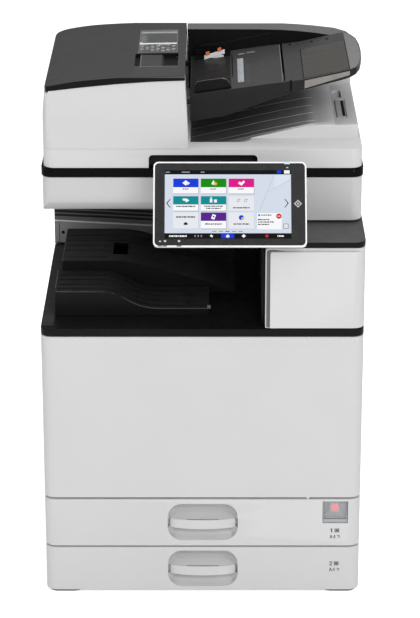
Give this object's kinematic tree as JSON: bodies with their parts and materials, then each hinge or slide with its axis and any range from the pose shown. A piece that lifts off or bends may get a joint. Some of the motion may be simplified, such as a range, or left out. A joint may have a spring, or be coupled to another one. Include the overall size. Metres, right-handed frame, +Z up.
{
  "type": "photocopier",
  "caption": "Floor-standing A3 photocopier with paper drawers, an in-body exit bay, a flatbed scanner, a hinged document feeder and a tilting touch panel.",
  "frame": {"origin": "centre of the footprint's bounding box, on the floor", "axes": "+X to the operator's right, +Y to the back of the machine, +Z up"},
  "size_m": [0.587, 0.6682, 0.9718],
  "materials": {
    "white_plastic": "fine moulded texture, satin",
    "dark_plastic": "fine moulded texture, matt charcoal",
    "black_plastic": "black, light satin",
    "grey_plastic": "mid grey, satin",
    "sheet_steel": "plated sheet",
    "foot_rubber": "matt",
    "roller_rubber": "ground",
    "belt_film": "smooth film",
    "heat_sleeve": "smooth sleeve",
    "clear_glass": "polished",
    "clear_flap": "smoked clear flap",
    "screen_glass": "glossy touch panel",
    "platen_white": "soft white sheet",
    "toner_yellow": "moulded",
    "toner_magenta": "moulded",
    "toner_cyan": "moulded",
    "toner_black": "moulded"
  },
  "bodies": {
    "frame": {"base_frame": "sheet_steel", "foot_front_right": "foot_rubber", "foot_front_left": "foot_rubber", "foot_rear_right": "foot_rubber", "foot_rear_left": "foot_rubber", "left_cover": "white_plastic", "right_lower_cover": "white_plastic", "rear_cover": "white_plastic", "exit_floor": "black_plastic", "exit_inner_cover": "black_plastic", "lower_exit_tray": "black_plastic", "tower_front_cover": "white_plastic", "tower_shelf_cover": "dark_plastic", "switch_housing": "grey_plastic", "transfer_belt": "belt_film", "fuser_housing": "black_plastic", "scanner_housing": "white_plastic", "scanner_top_frame": "black_plastic", "exposure_glass": "clear_glass", "panel_arm": "dark_plastic"},
    "front_door": {"front_door": "white_plastic"},
    "tray_1": {"tray1_front": "white_plastic", "tray1_box": "black_plastic"},
    "tray_1_fence_front": {"tray1_side_fence_front": "grey_plastic"},
    "tray_1_fence_rear": {"tray1_side_fence_rear": "grey_plastic"},
    "tray_1_end_fence": {"tray1_end_fence": "grey_plastic"},
    "tray_2": {"tray2_front": "white_plastic", "tray2_box": "black_plastic"},
    "tray_2_fence_front": {"tray2_side_fence_front": "grey_plastic"},
    "tray_2_fence_rear": {"tray2_side_fence_rear": "grey_plastic"},
    "tray_2_end_fence": {"tray2_end_fence": "grey_plastic"},
    "power_rocker": {"power_rocker": "black_plastic"},
    "switch_cover": {"switch_cover": "clear_flap"},
    "heat_roller": {"heat_roller": "heat_sleeve"},
    "pressure_roller": {"pressure_roller": "roller_rubber"},
    "right_door": {"right_door": "white_plastic"},
    "bypass_tray": {"bypass_tray": "white_plastic"},
    "scan_carriage": {"scan_carriage": "black_plastic"},
    "feeder": {"adf_base": "white_plastic", "adf_body": "white_plastic", "adf_rear_cover": "dark_plastic", "platen_pad": "platen_white"},
    "output_stopper": {"output_stopper": "grey_plastic"},
    "top_cover": {"adf_top_cover": "dark_plastic"},
    "latch": {"adf_latch": "dark_plastic"},
    "input_tray": {"input_tray": "black_plastic"},
    "guide_front": {"guide_front": "black_plastic"},
    "guide_rear": {"guide_rear": "black_plastic"},
    "tray_extension": {"tray_extension": "black_plastic"},
    "pickup_arm": {"pickup_arm": "grey_plastic"},
    "panel": {"panel_shell": "white_plastic", "panel_screen": "screen_glass"},
    "toner_yellow": {"toner_yellow": "toner_yellow"},
    "drum_yellow": {"drum_yellow": "toner_yellow"},
    "toner_magenta": {"toner_magenta": "toner_magenta"},
    "drum_magenta": {"drum_magenta": "toner_magenta"},
    "toner_cyan": {"toner_cyan": "toner_cyan"},
    "drum_cyan": {"drum_cyan": "toner_cyan"},
    "toner_black": {"toner_black": "toner_black"},
    "drum_black": {"drum_black": "toner_black"}
  },
  "joints": [
    {"name": "front_door_hinge", "type": "hinge", "parent": "frame", "child": "front_door", "pos_m": [0, -0.28833, 0.21], "axis": [1, 0, 0], "range_deg": [0, 88]},
    {"name": "tray_1_slide", "type": "slide", "parent": "frame", "child": "tray_1", "axis": [0, -1, 0], "range_m": [0, 0.36]},
    {"name": "tray_1_fence_front_slide", "type": "slide", "parent": "tray_1", "child": "tray_1_fence_front", "axis": [0, 1, 0], "range_m": [0, 0.074]},
    {"name": "tray_1_fence_rear_slide", "type": "slide", "parent": "tray_1", "child": "tray_1_fence_rear", "axis": [0, 1, 0], "range_m": [-0.074, 0]},
    {"name": "tray_1_end_fence_slide", "type": "slide", "parent": "tray_1", "child": "tray_1_end_fence", "axis": [1, 0, 0], "range_m": [0, 0.24]},
    {"name": "tray_2_slide", "type": "slide", "parent": "frame", "child": "tray_2", "axis": [0, -1, 0], "range_m": [0, 0.36]},
    {"name": "tray_2_fence_front_slide", "type": "slide", "parent": "tray_2", "child": "tray_2_fence_front", "axis": [0, 1, 0], "range_m": [0, 0.074]},
    {"name": "tray_2_fence_rear_slide", "type": "slide", "parent": "tray_2", "child": "tray_2_fence_rear", "axis": [0, 1, 0], "range_m": [-0.074, 0]},
    {"name": "tray_2_end_fence_slide", "type": "slide", "parent": "tray_2", "child": "tray_2_end_fence", "axis": [1, 0, 0], "range_m": [0, 0.24]},
    {"name": "power_rocker_hinge", "type": "hinge", "parent": "frame", "child": "power_rocker", "pos_m": [0.247, -0.27533, 0.171], "axis": [1, 0, 0], "range_deg": [-5, 5]},
    {"name": "switch_cover_hinge", "type": "hinge", "parent": "frame", "child": "switch_cover", "pos_m": [0.247, -0.29003, 0.1518], "axis": [1, 0, 0], "range_deg": [0, 85]},
    {"name": "toner_yellow_spin", "type": "hinge", "parent": "frame", "child": "toner_yellow", "pos_m": [-0.205, -0.06133, 0.436], "axis": [0, 1, 0], "continuous": true},
    {"name": "drum_yellow_spin", "type": "hinge", "parent": "frame", "child": "drum_yellow", "pos_m": [-0.205, -0.06133, 0.336], "axis": [0, 1, 0], "continuous": true},
    {"name": "toner_magenta_spin", "type": "hinge", "parent": "frame", "child": "toner_magenta", "pos_m": [-0.125, -0.06133, 0.436], "axis": [0, 1, 0], "continuous": true},
    {"name": "drum_magenta_spin", "type": "hinge", "parent": "frame", "child": "drum_magenta", "pos_m": [-0.125, -0.06133, 0.336], "axis": [0, 1, 0], "continuous": true},
    {"name": "toner_cyan_spin", "type": "hinge", "parent": "frame", "child": "toner_cyan", "pos_m": [-0.045, -0.06133, 0.436], "axis": [0, 1, 0], "continuous": true},
    {"name": "drum_cyan_spin", "type": "hinge", "parent": "frame", "child": "drum_cyan", "pos_m": [-0.045, -0.06133, 0.336], "axis": [0, 1, 0], "continuous": true},
    {"name": "toner_black_spin", "type": "hinge", "parent": "frame", "child": "toner_black", "pos_m": [0.035, -0.06133, 0.436], "axis": [0, 1, 0], "continuous": true},
    {"name": "drum_black_spin", "type": "hinge", "parent": "frame", "child": "drum_black", "pos_m": [0.035, -0.06133, 0.336], "axis": [0, 1, 0], "continuous": true},
    {"name": "heat_roller_spin", "type": "hinge", "parent": "frame", "child": "heat_roller", "pos_m": [0.181, -0.04633, 0.462], "axis": [0, 1, 0], "continuous": true},
    {"name": "pressure_roller_spin", "type": "hinge", "parent": "frame", "child": "pressure_roller", "pos_m": [0.222, -0.04633, 0.462], "axis": [0, 1, 0], "continuous": true},
    {"name": "right_door_hinge", "type": "hinge", "parent": "frame", "child": "right_door", "pos_m": [0.287, -0.00633, 0.208], "axis": [0, 1, 0], "range_deg": [0, 70]},
    {"name": "bypass_tray_hinge", "type": "hinge", "parent": "right_door", "child": "bypass_tray", "pos_m": [0.2855, 0.00367, 0.345], "axis": [0, 1, 0], "range_deg": [0, 60]},
    {"name": "scan_carriage_slide", "type": "slide", "parent": "frame", "child": "scan_carriage", "axis": [1, 0, 0], "range_m": [0, 0.42]},
    {"name": "feeder_hinge", "type": "hinge", "parent": "frame", "child": "feeder", "pos_m": [0, 0.27867, 0.812], "axis": [-1, 0, 0], "range_deg": [0, 65]},
    {"name": "output_stopper_hinge", "type": "hinge", "parent": "feeder", "child": "output_stopper", "pos_m": [0.251, -0.00733, 0.8593], "axis": [0, -1, 0], "range_deg": [0, 70]},
    {"name": "top_cover_hinge", "type": "hinge", "parent": "feeder", "child": "top_cover", "pos_m": [-0.2812, 0.01867, 0.9442], "axis": [0, -1, 0], "range_deg": [0, 75]},
    {"name": "latch_hinge", "type": "hinge", "parent": "top_cover", "child": "latch", "pos_m": [-0.1135, -0.06633, 0.9668], "axis": [0, -1, 0], "range_deg": [0, 25]},
    {"name": "input_tray_hinge", "type": "hinge", "parent": "feeder", "child": "input_tray", "pos_m": [-0.035, 0.01867, 0.905], "axis": [0, -1, 0], "range_deg": [0, 20]},
    {"name": "guide_front_slide", "type": "slide", "parent": "input_tray", "child": "guide_front", "axis": [0, 1, 0], "range_m": [0, 0.09]},
    {"name": "guide_rear_slide", "type": "slide", "parent": "input_tray", "child": "guide_rear", "axis": [0, 1, 0], "range_m": [-0.09, 0]},
    {"name": "tray_extension_hinge", "type": "hinge", "parent": "input_tray", "child": "tray_extension", "pos_m": [0.1515, 0.01867, 0.943], "axis": [0, -1, 0], "range_deg": [0, 60]},
    {"name": "pickup_arm_hinge", "type": "hinge", "parent": "feeder", "child": "pickup_arm", "pos_m": [-0.092, 0.02367, 0.936], "axis": [0, 1, 0], "range_deg": [0, 14]},
    {"name": "panel_tilt", "type": "hinge", "parent": "frame", "child": "panel", "pos_m": [0.14, -0.26233, 0.738], "axis": [1, 0, 0], "range_deg": [-20, 12]}
  ],
  "couplings": [
    {"joint": "tray_1_fence_rear_slide", "follows": "tray_1_fence_front_slide", "ratio": -1},
    {"joint": "tray_2_fence_rear_slide", "follows": "tray_2_fence_front_slide", "ratio": -1},
    {"joint": "drum_magenta_spin", "follows": "drum_yellow_spin", "ratio": 1},
    {"joint": "drum_cyan_spin", "follows": "drum_yellow_spin", "ratio": 1},
    {"joint": "drum_black_spin", "follows": "drum_yellow_spin", "ratio": 1},
    {"joint": "pressure_roller_spin", "follows": "heat_roller_spin", "ratio": -1.02},
    {"joint": "guide_rear_slide", "follows": "guide_front_slide", "ratio": -1}
  ]
}
